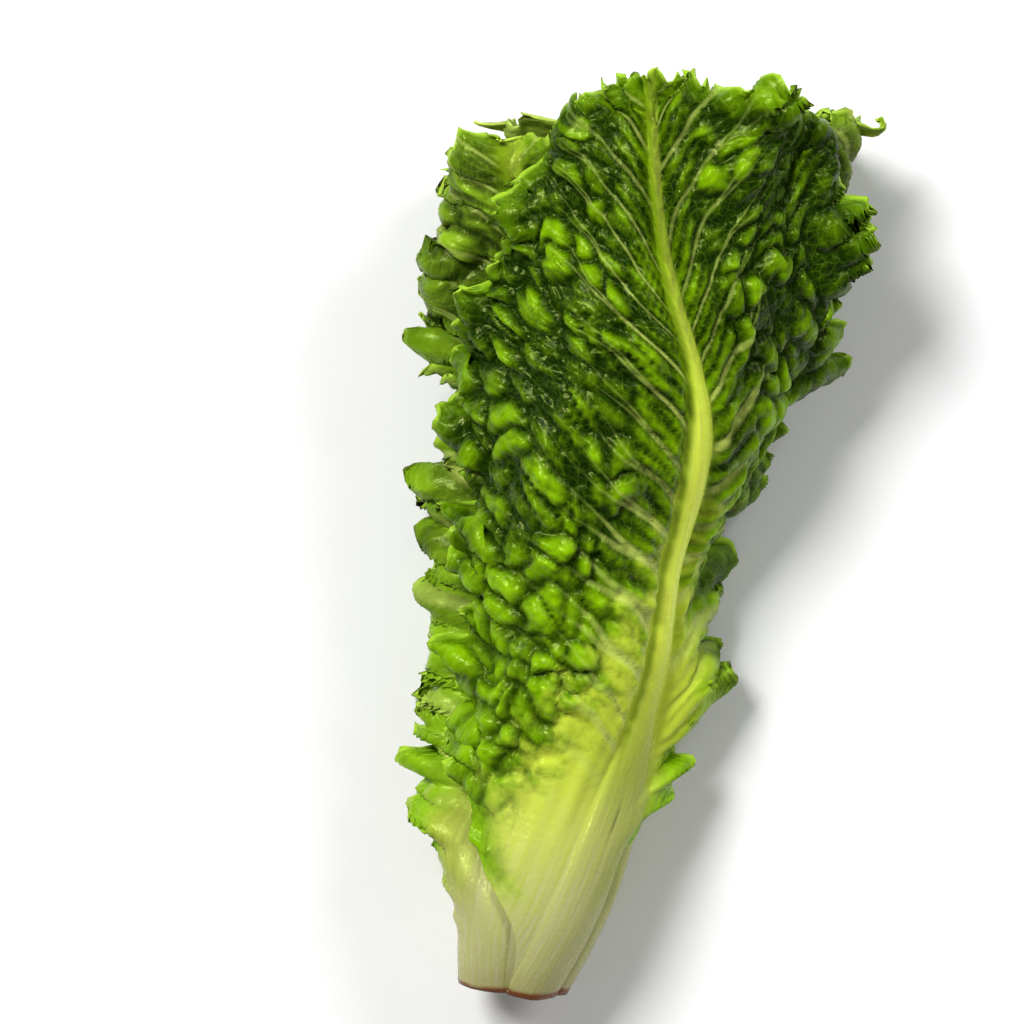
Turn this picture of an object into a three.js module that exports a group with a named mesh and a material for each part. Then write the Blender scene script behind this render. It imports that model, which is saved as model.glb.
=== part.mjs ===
// A head of romaine lettuce as picked: twelve separate leaves round a short stem, lying on a flat surface.
// Millimetres. The head lies along Y with its cut butt at -Y and its leaf tips at +Y. +Z is up, and the
// lowest leaf rests on z = 0.
//
// Every leaf is a sheet wrapped round the head's axis. The sheets lie in layers, the first leaf outermost, so
// that no leaf crosses another. A place on a leaf is given by two numbers: across, from -1 at its left edge
// through 0 at its rib to 1 at its right edge, and along, from 0 at its foot to 1 at its tip. Heights are
// measured from the cut face along the head. Turns are degrees round the axis, 0 at the top and 90 at +X.

import * as THREE from 'three';

// The whole head
const HEAD_LENGTH = 280;
const BUTT_RADIUS = 18.6;
const LAYER_STEP = 0.075;
const FOOT_SQUEEZE = 0.5;
const OPEN_SWELL = 0.6;
const FLAT_AT = 0.8;
const FLAT_POWER = 5;
const SINK = 1.0;
const MAX_WRAP = 104;

// The blades
const HALF_THICKNESS = 0.42;
const LOWEST_MIDDLE = 0.42;
const CROWN_POWER = 2.6;
const FRILL_LENGTH = 34;
const FRILL_REACH = 15;
const FLARE_REACH = 27;
const COVERED_FRILL = 0.7;
const FRILL_SLIDE = 0.25;
const EDGE_SOFTNESS = 9;

// Radius of the outermost layer, the place of the head's axis, and its depth as a share of its width, at
// heights along the head
const RADIUS = [[0, 16.8], [25, 24], [50, 28.5], [100, 32], [140, 34.5], [190, 47], [245, 58], [285, 53]];
const AXIS_X = [[0, -15], [25, -9], [50, -5], [100, 3], [140, 6], [190, 20], [245, 29], [285, 32]];
const DEPTH = [[0, 1], [70, 1.06], [140, 1.14], [195, 0.97], [245, 0.82], [285, 0.82]];
const BUTT_LIFT = 9;
const TIP_LIFT = 5;

// Width of a leaf along its length, as a share of its widest
const SPREAD = [[0, 0.2], [0.08, 0.26], [0.16, 0.38], [0.3, 0.62], [0.5, 0.86], [0.75, 1], [1, 0.9]];

// The rib's half-width, its rise outside and its rise inside, at heights along the head
const RIB_HALF_WIDTH = [[0, 7], [30, 8], [60, 7], [96, 5], [125, 4.7], [170, 4], [190, 2.6], [240, 1.5]];
const RIB_RISE = [[0, 2.2], [40, 3.6], [90, 3.2], [140, 2.8], [190, 1.7], [230, 0.9], [280, 0.3]];
const RIB_INSIDE = [[0, 1.2], [40, 1.2], [90, 0.8], [190, 0.5], [280, 0.2]];

// The front leaf's rib and edges, as turns at heights along the head
const FRONT_RIB = [
  [0, 27], [41, 40], [86, 52], [140, 58], [172, 40], [195, 24], [216, 10], [246, 0], [285, -5],
];
const FRONT_LEFT = [
  [0, -3], [18, -7], [41, -38], [60, -52], [100, -68], [140, -66], [180, -78], [213, -64], [285, -42],
];
const FRONT_RIGHT = [
  [0, 53], [41, 64], [86, 98], [140, 114], [175, 108], [205, 84], [245, 64], [285, 56],
];

// One row for each leaf, the outermost first. turn and twist are where its rib is at the foot and how far it
// has turned at the tip, left and right its half-widths, and crown how far its rounded top drops to its
// corners. flare is how far its open left and right edges stand off, frill how far they wave, and rib its
// share of the full rib.
const LEAVES = [
  { name: 'leaf_01_front',
    foot: 3.8, tip: 280, crown: 15, flare: [3.5, 9], frill: [4, 6], rib: 1, rows: 34, strips: [7, 4] },
  { name: 'leaf_02_underneath', turn: 186, twist: 4, left: 44, right: 42,
    foot: 3.8, tip: 266, crown: 38, flare: [7, 7], frill: [5, 5], rib: 0.7, rows: 31, strips: [4, 4] },
  { name: 'leaf_03_left', turn: -44, twist: -8, left: 26, right: 42,
    foot: 3.8, tip: 262, crown: 26, flare: [13, 3], frill: [5.5, 2], rib: 0.72, rows: 33, strips: [4, 4] },
  { name: 'leaf_04_right', turn: 93, twist: -6, left: 46, right: 44,
    foot: 3.8, tip: 274, crown: 24, flare: [10, 10], frill: [6, 6], rib: 0.72, rows: 32, strips: [4, 4] },
  { name: 'leaf_05_lower_left', turn: 229, twist: 8, left: 44, right: 46,
    foot: 3.8, tip: 265, crown: 28, flare: [7, 8], frill: [3.5, 5], rib: 0.7, rows: 31, strips: [4, 4] },
  { name: 'leaf_06_inner', turn: 8, twist: 10, left: 42, right: 42,
    foot: 11, tip: 277, crown: 26, flare: [8, 8], frill: [5, 5], rib: 0.6, rows: 23, strips: [4, 4] },
  { name: 'leaf_07_inner', turn: 145, twist: -5, left: 42, right: 42,
    foot: 11, tip: 270, crown: 28, flare: [8, 8], frill: [5, 5], rib: 0.6, rows: 23, strips: [4, 4] },
  { name: 'leaf_08_inner', turn: -78, twist: 0, left: 40, right: 40,
    foot: 14, tip: 272, crown: 28, flare: [8, 8], frill: [5, 5], rib: 0.55, rows: 22, strips: [4, 4] },
  { name: 'leaf_09_inner', turn: 60, twist: 6, left: 38, right: 38,
    foot: 17, tip: 268, crown: 28, flare: [6, 6], frill: [4, 4], rib: 0.5, rows: 20, strips: [4, 4] },
  { name: 'leaf_10_inner', turn: 198, twist: -8, left: 34, right: 34,
    foot: 20, tip: 262, crown: 26, flare: [5, 5], frill: [4, 4], rib: 0.45, rows: 18, strips: [3, 3] },
  { name: 'leaf_11_inner', turn: -25, twist: 5, left: 30, right: 30,
    foot: 23, tip: 256, crown: 24, flare: [4, 4], frill: [3, 3], rib: 0.4, rows: 17, strips: [3, 3] },
  { name: 'leaf_12_heart', turn: 112, twist: 0, left: 24, right: 24,
    foot: 26, tip: 246, crown: 20, flare: [3, 3], frill: [3, 3], rib: 0.35, rows: 16, strips: [3, 3] },
];

// The stem's outline, as radius and height above the cut face
const STEM = [
  [0, 0], [16.2, 0], [18, 0.5], [BUTT_RADIUS, 1.4], [18, 2.5], [11.2, 2.7], [10.4, 9], [9.6, 16], [7.8, 20],
  [4.6, 26], [2.6, 32], [0, 40],
];
const STEM_SIDES = 26;

const radians = THREE.MathUtils.degToRad;
const { clamp, euclideanModulo, smoothstep } = THREE.MathUtils;

// A smooth curve through a few points, read at a height.
function along(points, height) {
  const last = points.length - 1;
  let i = 0;
  while (i < last - 1 && height > points[i + 1][0]) {
    i += 1;
  }
  const slope = (n) => {
    const [x0, y0] = points[Math.max(n - 1, 0)];
    const [x1, y1] = points[Math.min(n + 1, last)];
    return (y1 - y0) / (x1 - x0);
  };
  const [x0, y0] = points[i];
  const [x1, y1] = points[i + 1];
  const t = clamp((height - x0) / (x1 - x0), 0, 1);
  const span = x1 - x0;
  const start = (1 + 2 * t) * (1 - t) * (1 - t);
  const bend = t * (1 - t) * span * ((1 - t) * slope(i) - t * slope(i + 1));
  return start * y0 + (1 - start) * y1 + bend;
}

// How far out a leaf's layer lies, 1 being the outermost. The layers are closer together at the foot.
function layerOf(index, height) {
  const squeeze = FOOT_SQUEEZE + (1 - FOOT_SQUEEZE) * smoothstep(height, 0, 45);
  return 1 - LAYER_STEP * index * squeeze;
}

// The turn of a leaf's rib at a height.
function ribTurn(index, height) {
  const leaf = LEAVES[index];
  if (index === 0) {
    return along(FRONT_RIB, height);
  }
  return leaf.turn + leaf.twist * height / HEAD_LENGTH;
}

// How many degrees of turn lie between a leaf's rib and its left or right edge.
function wrapOf(index, height, side) {
  const leaf = LEAVES[index];
  if (index === 0) {
    const edge = along(side < 0 ? FRONT_LEFT : FRONT_RIGHT, height);
    return Math.abs(edge - ribTurn(0, height));
  }
  const widest = side < 0 ? leaf.left : leaf.right;
  const width = widest * along(SPREAD, (height - leaf.foot) / (leaf.tip - leaf.foot));
  const radius = layerOf(index, height) * along(RADIUS, height);
  return Math.min(MAX_WRAP, THREE.MathUtils.radToDeg(width / radius));
}

// How much lower the rounded top of a leaf is away from its rib.
function crownDrop(index, across) {
  return LEAVES[index].crown * Math.abs(across) ** CROWN_POWER;
}

// 1 where no outer leaf covers this place, 0 where one does.
function openness(index, turn, height) {
  let open = 1;
  for (let outer = 0; outer < index; outer += 1) {
    const offset = euclideanModulo(turn - ribTurn(outer, height) + 180, 360) - 180;
    const wrap = wrapOf(outer, height, offset);
    const beside = smoothstep(Math.abs(offset), wrap + 1, wrap + 1 + 2 * EDGE_SOFTNESS);
    const reach = LEAVES[outer].tip - crownDrop(outer, Math.min(1, Math.abs(offset) / wrap));
    const beyond = smoothstep(height, reach + 1, reach + 1 + 1.5 * EDGE_SOFTNESS);
    open *= 1 - (1 - beside) * (1 - beyond);
  }
  return open;
}

// The head's outline round its axis: round at the foot, then flat underneath.
function outline(turn, height) {
  const down = Math.max(0, -Math.cos(radians(turn)));
  const flattened = (1 + (down / FLAT_AT) ** FLAT_POWER) ** (-1 / FLAT_POWER);
  return 1 + (flattened - 1) * smoothstep(height, 0, 70);
}

function axisHeight(height) {
  const layer = layerOf(1, height);
  const resting = (layer + OPEN_SWELL * (1 - layer)) * along(RADIUS, height);
  const lift = BUTT_LIFT * (1 - smoothstep(height, 0, 80)) + TIP_LIFT * smoothstep(height, 215, HEAD_LENGTH);
  return resting * outline(180, height) * along(DEPTH, height) - SINK + lift;
}

// Folds that all layers share, as a share of the radius.
function folds(turn, height, radius) {
  const around = radians(turn);
  const side = 1 - smoothstep(-Math.cos(around), 0.45, 0.9);
  const wave = (share, count, shift) => share * Math.sin(count * around + shift);
  const body = wave(0.022, 3, 0.02 * height + 0.6) + wave(0.016, 5, 2 - 0.031 * height);
  const top = wave(0.05, 8, 0.05 * radius + 1.1) + wave(0.028, 13, 0.4 - 0.045 * height);
  return side * (body * smoothstep(height, 40, 120) + top * smoothstep(height, 212, 275));
}

// A point in the middle of a leaf's thickness.
function leafPoint(index, across, along01) {
  const leaf = LEAVES[index];
  const rightness = smoothstep(across, -0.4, 0.4);
  const sided = ([left, right]) => left + (right - left) * rightness;
  const height = leaf.foot + (leaf.tip - leaf.foot) * along01 - crownDrop(index, across) * along01 ** 3;
  const wrap = wrapOf(index, height, across);
  const turn = ribTurn(index, height) + across * wrap;
  const layer = layerOf(index, height);
  const open = openness(index, turn, height);
  const even = along(RADIUS, height) * (layer + OPEN_SWELL * (1 - layer) * open);

  const halfWidth = radians(wrap) * even;
  const fromSide = (1 - Math.abs(across)) * halfWidth;
  const fromTop = (1 - along01) * (leaf.tip - leaf.foot);
  const fromEdge = Math.min(fromSide, fromTop);
  const clearOfGround = 1 - 0.85 * smoothstep(-Math.cos(radians(turn)), 0.5, 0.9);
  const blade = smoothstep(height - leaf.foot, 30, 85) * clearOfGround;
  const flareMask = (1 - smoothstep(fromEdge, 0, FLARE_REACH)) ** 2 * blade;
  const frillMask = (1 - smoothstep(fromEdge, 0, FRILL_REACH)) * blade;
  const place = 2 * Math.PI * (height + fromSide) / FRILL_LENGTH + 1.7 * index + 2.1 * rightness;
  const frill = (sided(leaf.frill) * open + COVERED_FRILL * (1 - open)) * frillMask;
  const proud = sided(leaf.flare) * open * flareMask + frill * Math.sin(place);
  const slide = -FRILL_SLIDE * frill * open * Math.sin(2 * place);

  const reach = even * (1 + folds(turn, height, even)) * outline(turn, height) + proud;
  const x = along(AXIS_X, height) + reach * Math.sin(radians(turn));
  const z = axisHeight(height) + reach * Math.cos(radians(turn)) * along(DEPTH, height);
  return new THREE.Vector3(x, height - HEAD_LENGTH / 2 + slide, Math.max(LOWEST_MIDDLE, z));
}

// The places across a leaf where its strips meet, closer together on the rib.
function stripEdges(index, along01) {
  const leaf = LEAVES[index];
  const height = leaf.foot + (leaf.tip - leaf.foot) * along01;
  const ribHalf = along(RIB_HALF_WIDTH, height);
  const edges = [0];
  for (const side of [-1, 1]) {
    const count = leaf.strips[side < 0 ? 0 : 1];
    const radius = layerOf(index, height) * along(RADIUS, height);
    const halfWidth = radians(wrapOf(index, height, side)) * radius;
    const ribShare = Math.min(0.62, 1.1 * ribHalf / halfWidth);
    edges.push(side * ribShare * 0.55);
    for (let i = 0; i <= count; i += 1) {
      edges.push(side * (ribShare + (1 - ribShare) * i / count));
    }
  }
  return edges.sort((a, b) => a - b);
}

// How far the leaf's two faces stand off its middle, outside and inside.
function faceOffsets(index, across, along01) {
  const leaf = LEAVES[index];
  const height = leaf.foot + (leaf.tip - leaf.foot) * along01;
  const radius = layerOf(index, height) * along(RADIUS, height);
  const fromRib = Math.abs(across) * radians(wrapOf(index, height, across)) * radius;
  const t = Math.min(1, fromRib / (1.1 * along(RIB_HALF_WIDTH, height)));
  const rib = (1 - t * t) ** 0.75 * leaf.rib;
  const fleshy = 0.35 * (1 - smoothstep(height, 20, 90)) * (1 - Math.abs(across));
  return {
    outside: HALF_THICKNESS + fleshy + rib * along(RIB_RISE, height),
    inside: HALF_THICKNESS + fleshy + rib * along(RIB_INSIDE, height),
  };
}

// The triangles of a sheet of points, each as three places of row and column, every square split along its
// shorter diagonal.
function sheetTriangles(points) {
  const triangles = [];
  for (let row = 0; row < points.length - 1; row += 1) {
    for (let column = 0; column < points[0].length - 1; column += 1) {
      const corners = [[row, column], [row, column + 1], [row + 1, column + 1], [row + 1, column]];
      const [a, b, c, d] = corners.map(([r, n]) => points[r][n]);
      const halves = a.distanceTo(c) <= b.distanceTo(d) ? [[0, 1, 2], [0, 2, 3]] : [[0, 1, 3], [1, 2, 3]];
      triangles.push(...halves.map((half) => half.map((n) => corners[n])));
    }
  }
  return triangles;
}

// The direction out of a sheet at each of its points, the mean of the triangles that meet there.
function sheetNormals(points, triangles) {
  const normals = points.map((row) => row.map(() => new THREE.Vector3()));
  for (const corners of triangles) {
    const [a, b, c] = corners.map(([row, column]) => points[row][column]);
    const facing = new THREE.Triangle(a, b, c).getNormal(new THREE.Vector3());
    corners.forEach(([row, column]) => normals[row][column].add(facing));
  }
  normals.flat().forEach((normal) => normal.normalize());
  return normals;
}

// A closed solid between two sheets of points that have the same triangles.
function sheetSolid(outer, inner, triangles) {
  const rows = outer.length;
  const columns = outer[0].length;
  const positions = [...outer.flat(), ...inner.flat()].flatMap((p) => p.toArray());
  const outerAt = (row, column) => row * columns + column;
  const innerAt = (row, column) => rows * columns + row * columns + column;
  const faces = [];
  for (const [a, b, c] of triangles) {
    faces.push(outerAt(...a), outerAt(...b), outerAt(...c));
    faces.push(innerAt(...a), innerAt(...c), innerAt(...b));
  }
  const rim = [];
  for (let column = 0; column < columns - 1; column += 1) {
    rim.push([0, column]);
  }
  for (let row = 0; row < rows - 1; row += 1) {
    rim.push([row, columns - 1]);
  }
  for (let column = columns - 1; column > 0; column -= 1) {
    rim.push([rows - 1, column]);
  }
  for (let row = rows - 1; row > 0; row -= 1) {
    rim.push([row, 0]);
  }
  rim.forEach((here, i) => {
    const next = rim[(i + 1) % rim.length];
    faces.push(outerAt(...here), innerAt(...next), outerAt(...next));
    faces.push(outerAt(...here), innerAt(...here), innerAt(...next));
  });
  const geometry = new THREE.BufferGeometry();
  geometry.setAttribute('position', new THREE.Float32BufferAttribute(positions, 3));
  geometry.setIndex(faces);
  return geometry;
}

function leafGeometry(index) {
  const { rows } = LEAVES[index];
  const places = [];
  for (let row = 0; row <= rows; row += 1) {
    places.push(stripEdges(index, row / rows).map((across) => [across, row / rows]));
  }
  const middle = places.map((list) => list.map(([across, along01]) => leafPoint(index, across, along01)));
  const triangles = sheetTriangles(middle);
  const normals = sheetNormals(middle, triangles);
  const sheet = (face, sign) => places.map((list, row) => list.map(([across, along01], column) => {
    const offset = sign * faceOffsets(index, across, along01)[face];
    const point = middle[row][column].clone().addScaledVector(normals[row][column], offset);
    point.z = Math.max(face === 'outside' ? 0 : 2 * HALF_THICKNESS, point.z);
    return point;
  }));
  return sheetSolid(sheet('outside', 1), sheet('inside', -1), triangles);
}

// The stem is turned round a straight line and then bent to follow the head's axis.
function stemGeometry() {
  const profile = STEM.map(([radius, height]) => new THREE.Vector2(radius, height));
  const geometry = new THREE.LatheGeometry(profile, STEM_SIDES);
  const points = geometry.getAttribute('position');
  for (let i = 0; i < points.count; i += 1) {
    const height = points.getY(i);
    const x = points.getX(i) + along(AXIS_X, height);
    const z = points.getZ(i) + axisHeight(height);
    points.setXYZ(i, x, height - HEAD_LENGTH / 2, z);
  }
  return geometry;
}

// Paler and yellower towards the heart
function leafMaterial(index) {
  const outer = new THREE.Color(0x4f8a14);
  const heart = new THREE.Color(0xb9c86a);
  const color = outer.lerp(heart, index / (LEAVES.length - 1));
  return new THREE.MeshStandardMaterial({ color, roughness: 0.45, metalness: 0 });
}

function stemMaterial() {
  return new THREE.MeshStandardMaterial({ color: 0xd3cba2, roughness: 0.6, metalness: 0 });
}

const head = new THREE.Group();

LEAVES.forEach((leaf, index) => {
  const mesh = new THREE.Mesh(leafGeometry(index), leafMaterial(index));
  mesh.name = leaf.name;
  head.add(mesh);
});

const stem = new THREE.Mesh(stemGeometry(), stemMaterial());
stem.name = 'stem';
head.add(stem);

export default head;
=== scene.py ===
"""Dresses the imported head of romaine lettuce: fine leaves, stem, materials, light and camera."""

import math

import bpy
import numpy as np
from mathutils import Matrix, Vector


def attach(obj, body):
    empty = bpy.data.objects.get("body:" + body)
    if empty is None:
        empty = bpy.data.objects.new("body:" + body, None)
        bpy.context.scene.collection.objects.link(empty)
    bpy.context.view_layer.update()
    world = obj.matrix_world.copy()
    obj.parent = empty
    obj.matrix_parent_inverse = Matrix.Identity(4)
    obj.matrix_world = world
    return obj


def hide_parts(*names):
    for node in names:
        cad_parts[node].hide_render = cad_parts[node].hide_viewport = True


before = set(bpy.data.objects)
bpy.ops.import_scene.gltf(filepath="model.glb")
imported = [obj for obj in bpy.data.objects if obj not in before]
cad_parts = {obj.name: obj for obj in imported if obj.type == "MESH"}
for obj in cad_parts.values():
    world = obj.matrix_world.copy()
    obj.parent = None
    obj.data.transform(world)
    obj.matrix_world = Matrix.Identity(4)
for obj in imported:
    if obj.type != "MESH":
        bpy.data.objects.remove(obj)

bl_info = {
    "name": "Romaine Lettuce Head",
    "version": (1, 0, 0),
    "blender": (4, 5, 0),
    "location": "View3D > Sidebar > Lettuce",
    "description": "Fine leaves, stem, materials, light and camera for a head of romaine lettuce",
    "category": "Object",
}

# Sizes are in millimetres until a mesh is made, because the leaves follow the solids' own formulas. Heights
# run from the cut face along the head. Turns are degrees round its axis, 0 at the top and 90 at +X.
MM = 0.001
HEAD_LENGTH = 280

# The leaves lie in layers, closer together at the foot, and swell where no other leaf covers them
LAYER_STEP = 0.075
FOOT_SQUEEZE = 0.5
OPEN_SWELL = 0.6
EDGE_SOFTNESS = 9

# The head is flat underneath, and its axis rises towards the butt and the tips
FLAT_AT = 0.8
FLAT_POWER = 5
SINK = 1.0
BUTT_LIFT = 9
TIP_LIFT = 5

# The sheet: how far it may wrap, half its thickness, the lowest its middle may lie, and its rounded top
MAX_WRAP = 104
HALF_THICKNESS = 0.42
LOWEST_MIDDLE = 0.42
CROWN_POWER = 2.6

# The share of the sheet's strips that lie on the rib, and the powers that draw strips and rows together
ON_RIB = 0.17
CLOSER_STRIPS = 1.25
CLOSER_ROWS = 1.12

# A free edge, from its widest bend to its smallest. A reach is how far in from the edge a bend begins, and
# a length is from one wave to the next. A leaf's edge is bare of all this near its foot.
FLARE_REACH = 27
FRILL_REACH = 15
FRILL_LENGTH = 34
FRILL_SLIDE = 0.25
COVERED_FRILL = 0.7
RUFFLE_REACH = 14
RUFFLE_LENGTH = 16.5
CURL_REACH = 9
CURL_LENGTH = 9.5
MOST_CURL = 1.8
CRIMP_REACH = 7
CRIMP_LENGTH = 5.3
TOOTH_REACH = 9
TOOTH_LENGTH = 4.7
CORNER_REACH = 14
BARE_FOOT = 30
BARE_FADE = 52

# A side vein forks between these distances from the rib, and each half ends this share of a pitch off it
FORK_START = 13
FORK_END = 40
FORK_SHARE = 0.24

# The green of the blade begins this much nearer to the rib for each millimetre of height
GREEN_SLANT = 0.42

# The head's radius, its axis and its depth, as values at heights
RADIUS = [(0, 16.8), (25, 24), (50, 28.5), (100, 32), (140, 34.5), (190, 47), (245, 58), (285, 53)]
AXIS_X = [(0, -15), (25, -9), (50, -5), (100, 3), (140, 6), (190, 20), (245, 29), (285, 32)]
DEPTH = [(0, 1), (70, 1.06), (140, 1.14), (195, 0.97), (245, 0.82), (285, 0.82)]

# A leaf's share of its full width, at shares of its length
SPREAD = [(0, 0.3), (0.08, 0.34), (0.16, 0.43), (0.3, 0.62), (0.5, 0.86), (0.75, 1), (1, 0.9)]

# The rib's half width and how far it stands out on both faces, at heights
RIB_HALF_WIDTH = [(0, 9), (30, 10), (60, 8.5), (96, 7), (125, 6.2), (170, 4.8), (190, 3), (240, 1.6)]
RIB_RISE = [(0, 1.3), (40, 2.6), (90, 3.1), (140, 2.8), (190, 1.7), (230, 0.9), (280, 0.3)]
RIB_INSIDE = [(0, 1.2), (40, 1.2), (90, 0.8), (190, 0.5), (280, 0.2)]

# The front leaf's rib and edges, as turns at heights
FRONT_RIB = [(0, 27), (41, 40), (86, 52), (140, 58), (172, 40), (195, 24), (216, 10), (246, 0), (285, -5)]
FRONT_LEFT = [
    (0, -3), (18, -7), (41, -38), (60, -52), (100, -68), (140, -66), (180, -76), (213, -62), (245, -44),
    (285, -36),
]
FRONT_RIGHT = [(0, 53), (41, 64), (86, 98), (140, 114), (175, 108), (205, 84), (245, 64), (285, 56)]

# One row for each leaf, the outermost first, as in the solids apart from the left leaf's frill. Pairs are
# for the left and the right edge. strips and rows are the fine sheet's.
OUTER, INNER, HEART = "outer_leaf", "inner_leaf", "heart_leaf"
LEAVES = [
    dict(node="leaf_01_front", turn=0, twist=0, left=0, right=0, foot=3.8, tip=280, crown=15,
         flare=(3.5, 9), frill=(4, 6), rib=1.0, slot=OUTER, strips=150, rows=300),
    dict(node="leaf_02_underneath", turn=186, twist=4, left=44, right=42, foot=3.8, tip=266, crown=38,
         flare=(7, 7), frill=(5, 5), rib=0.7, slot=OUTER, strips=110, rows=230),
    dict(node="leaf_03_left", turn=-44, twist=-8, left=26, right=42, foot=3.8, tip=262, crown=26,
         flare=(13, 3), frill=(1.4, 2), rib=0.72, slot=OUTER, strips=120, rows=260,
         bare=12, curl=0.9, rolls=0.5, green=0.78),
    dict(node="leaf_04_right", turn=93, twist=-6, left=46, right=44, foot=3.8, tip=274, crown=24,
         flare=(10, 10), frill=(6, 6), rib=0.72, slot=OUTER, strips=120, rows=250,
         bare=14, curl=0.8, rolls=0.4, green=0.62),
    dict(node="leaf_05_lower_left", turn=229, twist=8, left=44, right=46, foot=3.8, tip=265, crown=28,
         flare=(7, 8), frill=(3.5, 5), rib=0.7, slot=OUTER, strips=110, rows=230),
    dict(node="leaf_06_inner", turn=8, twist=10, left=42, right=42, foot=11, tip=277, crown=26,
         flare=(8, 8), frill=(5, 5), rib=0.6, slot=INNER, strips=80, rows=170),
    dict(node="leaf_07_inner", turn=145, twist=-5, left=42, right=42, foot=11, tip=270, crown=28,
         flare=(8, 8), frill=(5, 5), rib=0.6, slot=INNER, strips=80, rows=170),
    dict(node="leaf_08_inner", turn=-78, twist=0, left=40, right=40, foot=14, tip=272, crown=28,
         flare=(8, 8), frill=(5, 5), rib=0.55, slot=INNER, strips=80, rows=170),
    dict(node="leaf_09_inner", turn=60, twist=6, left=38, right=38, foot=17, tip=268, crown=28,
         flare=(6, 6), frill=(4, 4), rib=0.5, slot=INNER, strips=70, rows=150),
    dict(node="leaf_10_inner", turn=198, twist=-8, left=34, right=34, foot=20, tip=262, crown=26,
         flare=(5, 5), frill=(4, 4), rib=0.45, slot=HEART, strips=60, rows=130),
    dict(node="leaf_11_inner", turn=-25, twist=5, left=30, right=30, foot=23, tip=256, crown=24,
         flare=(4, 4), frill=(3, 3), rib=0.4, slot=HEART, strips=60, rows=130),
    dict(node="leaf_12_heart", turn=112, twist=0, left=24, right=24, foot=26, tip=246, crown=20,
         flare=(3, 3), frill=(3, 3), rib=0.35, slot=HEART, strips=60, rows=120),
]

# The outer leaves are cut off level with the stem, and the cut slants up to the left
FOOT_CUT = 0.4
CUT_SLANT = 0.16
CUT_PIVOT = -9

# The stem's outline, as radius and height, its sides and the most that one step of its outline may measure
STEM = [
    (0, 0.9), (6, 0.7), (11, 0.5), (14.5, 0.3), (16, 0.5), (16.3, 1.2), (15.8, 2.4), (14, 3.4), (11.2, 4.2),
    (10.4, 9), (9.6, 16), (7.8, 20), (4.6, 26), (2.6, 32), (0, 40),
]
STEM_SIDES = 128
STEM_STEP = 0.9

# Points of the stem's grid closer than this, in metres, become one, along its seam and at its two ends
SEAM_GAP = 0.000001

# Thickness is passed to Blender as one of so many steps of the thickest place
THICKNESS_STEPS = 200

# The photo's frame: the width it takes in, the point in its middle, and the height of the leaves there
VIEW_WIDTH = 314.0
VIEW_CENTRE = (-14.5, 10.4)
VIEW_PLANE = 55
SENSOR = 36

# The stage, in metres: the floor's side, the lamps' places and sides, and the point that they light
FLOOR_SIZE = 12
KEY_PLACE = (-1.2, 1.3, 2.5)
KEY_SIZE = 1.0
BACK_PLACE = (1.4, 1.2, 1.6)
BACK_SIZE = 0.8
LIT_POINT = (0, 0, 0.04)

# How high up, as a share of the way to the top, the wall light has given way to the fill light
WALL_TOP = 0.22
GAMMA = 0.9


def smoothstep(value, low, high):
    t = np.clip((value - low) / (high - low), 0, 1)
    return t * t * (3 - 2 * t)


def along(points, height):
    """A smooth curve through a few points, read at heights."""
    xs, ys = np.array(points, float).T
    slopes = np.gradient(ys, xs)
    slopes[1:-1] = (ys[2:] - ys[:-2]) / (xs[2:] - xs[:-2])
    i = np.clip(np.searchsorted(xs, height) - 1, 0, len(xs) - 2)
    span = xs[i + 1] - xs[i]
    t = np.clip((height - xs[i]) / span, 0, 1)
    start = (1 + 2 * t) * (1 - t) ** 2
    bend = t * (1 - t) * span * ((1 - t) * slopes[i] - t * slopes[i + 1])
    return start * ys[i] + (1 - start) * ys[i + 1] + bend


def layer_of(index, height):
    squeeze = FOOT_SQUEEZE + (1 - FOOT_SQUEEZE) * smoothstep(height, 0, 45)
    return 1 - LAYER_STEP * index * squeeze


def rib_turn(index, height):
    if index == 0:
        return along(FRONT_RIB, height)
    leaf = LEAVES[index]
    return leaf["turn"] + leaf["twist"] * height / HEAD_LENGTH


def wrap_of(index, height, side):
    """Degrees of turn between a leaf's rib and its left edge where side is below 0, or its right edge."""
    leaf = LEAVES[index]
    if index == 0:
        edge = np.where(side < 0, along(FRONT_LEFT, height), along(FRONT_RIGHT, height))
        return np.abs(edge - rib_turn(0, height))
    share = along(SPREAD, (height - leaf["foot"]) / (leaf["tip"] - leaf["foot"]))
    width = np.where(side < 0, leaf["left"], leaf["right"]) * share
    radius = layer_of(index, height) * along(RADIUS, height)
    return np.minimum(MAX_WRAP, np.degrees(width / radius))


def crown_drop(index, across):
    return LEAVES[index]["crown"] * np.abs(across) ** CROWN_POWER


def openness(index, turn, height):
    """1 where no outer leaf covers this place, 0 where one does."""
    uncovered = np.ones_like(height)
    for outer in range(index):
        offset = (turn - rib_turn(outer, height) + 180) % 360 - 180
        wrap = wrap_of(outer, height, offset)
        beside = smoothstep(np.abs(offset), wrap + 1, wrap + 1 + 2 * EDGE_SOFTNESS)
        reach = LEAVES[outer]["tip"] - crown_drop(outer, np.minimum(1, np.abs(offset) / wrap))
        beyond = smoothstep(height, reach + 1, reach + 1 + 1.5 * EDGE_SOFTNESS)
        uncovered *= 1 - (1 - beside) * (1 - beyond)
    return uncovered


def outline(turn, height):
    """The head's outline round its axis: round at the foot, then flat underneath."""
    down = np.maximum(0, -np.cos(np.radians(turn)))
    flattened = (1 + (down / FLAT_AT) ** FLAT_POWER) ** (-1 / FLAT_POWER)
    return 1 + (flattened - 1) * smoothstep(height, 0, 70)


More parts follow.
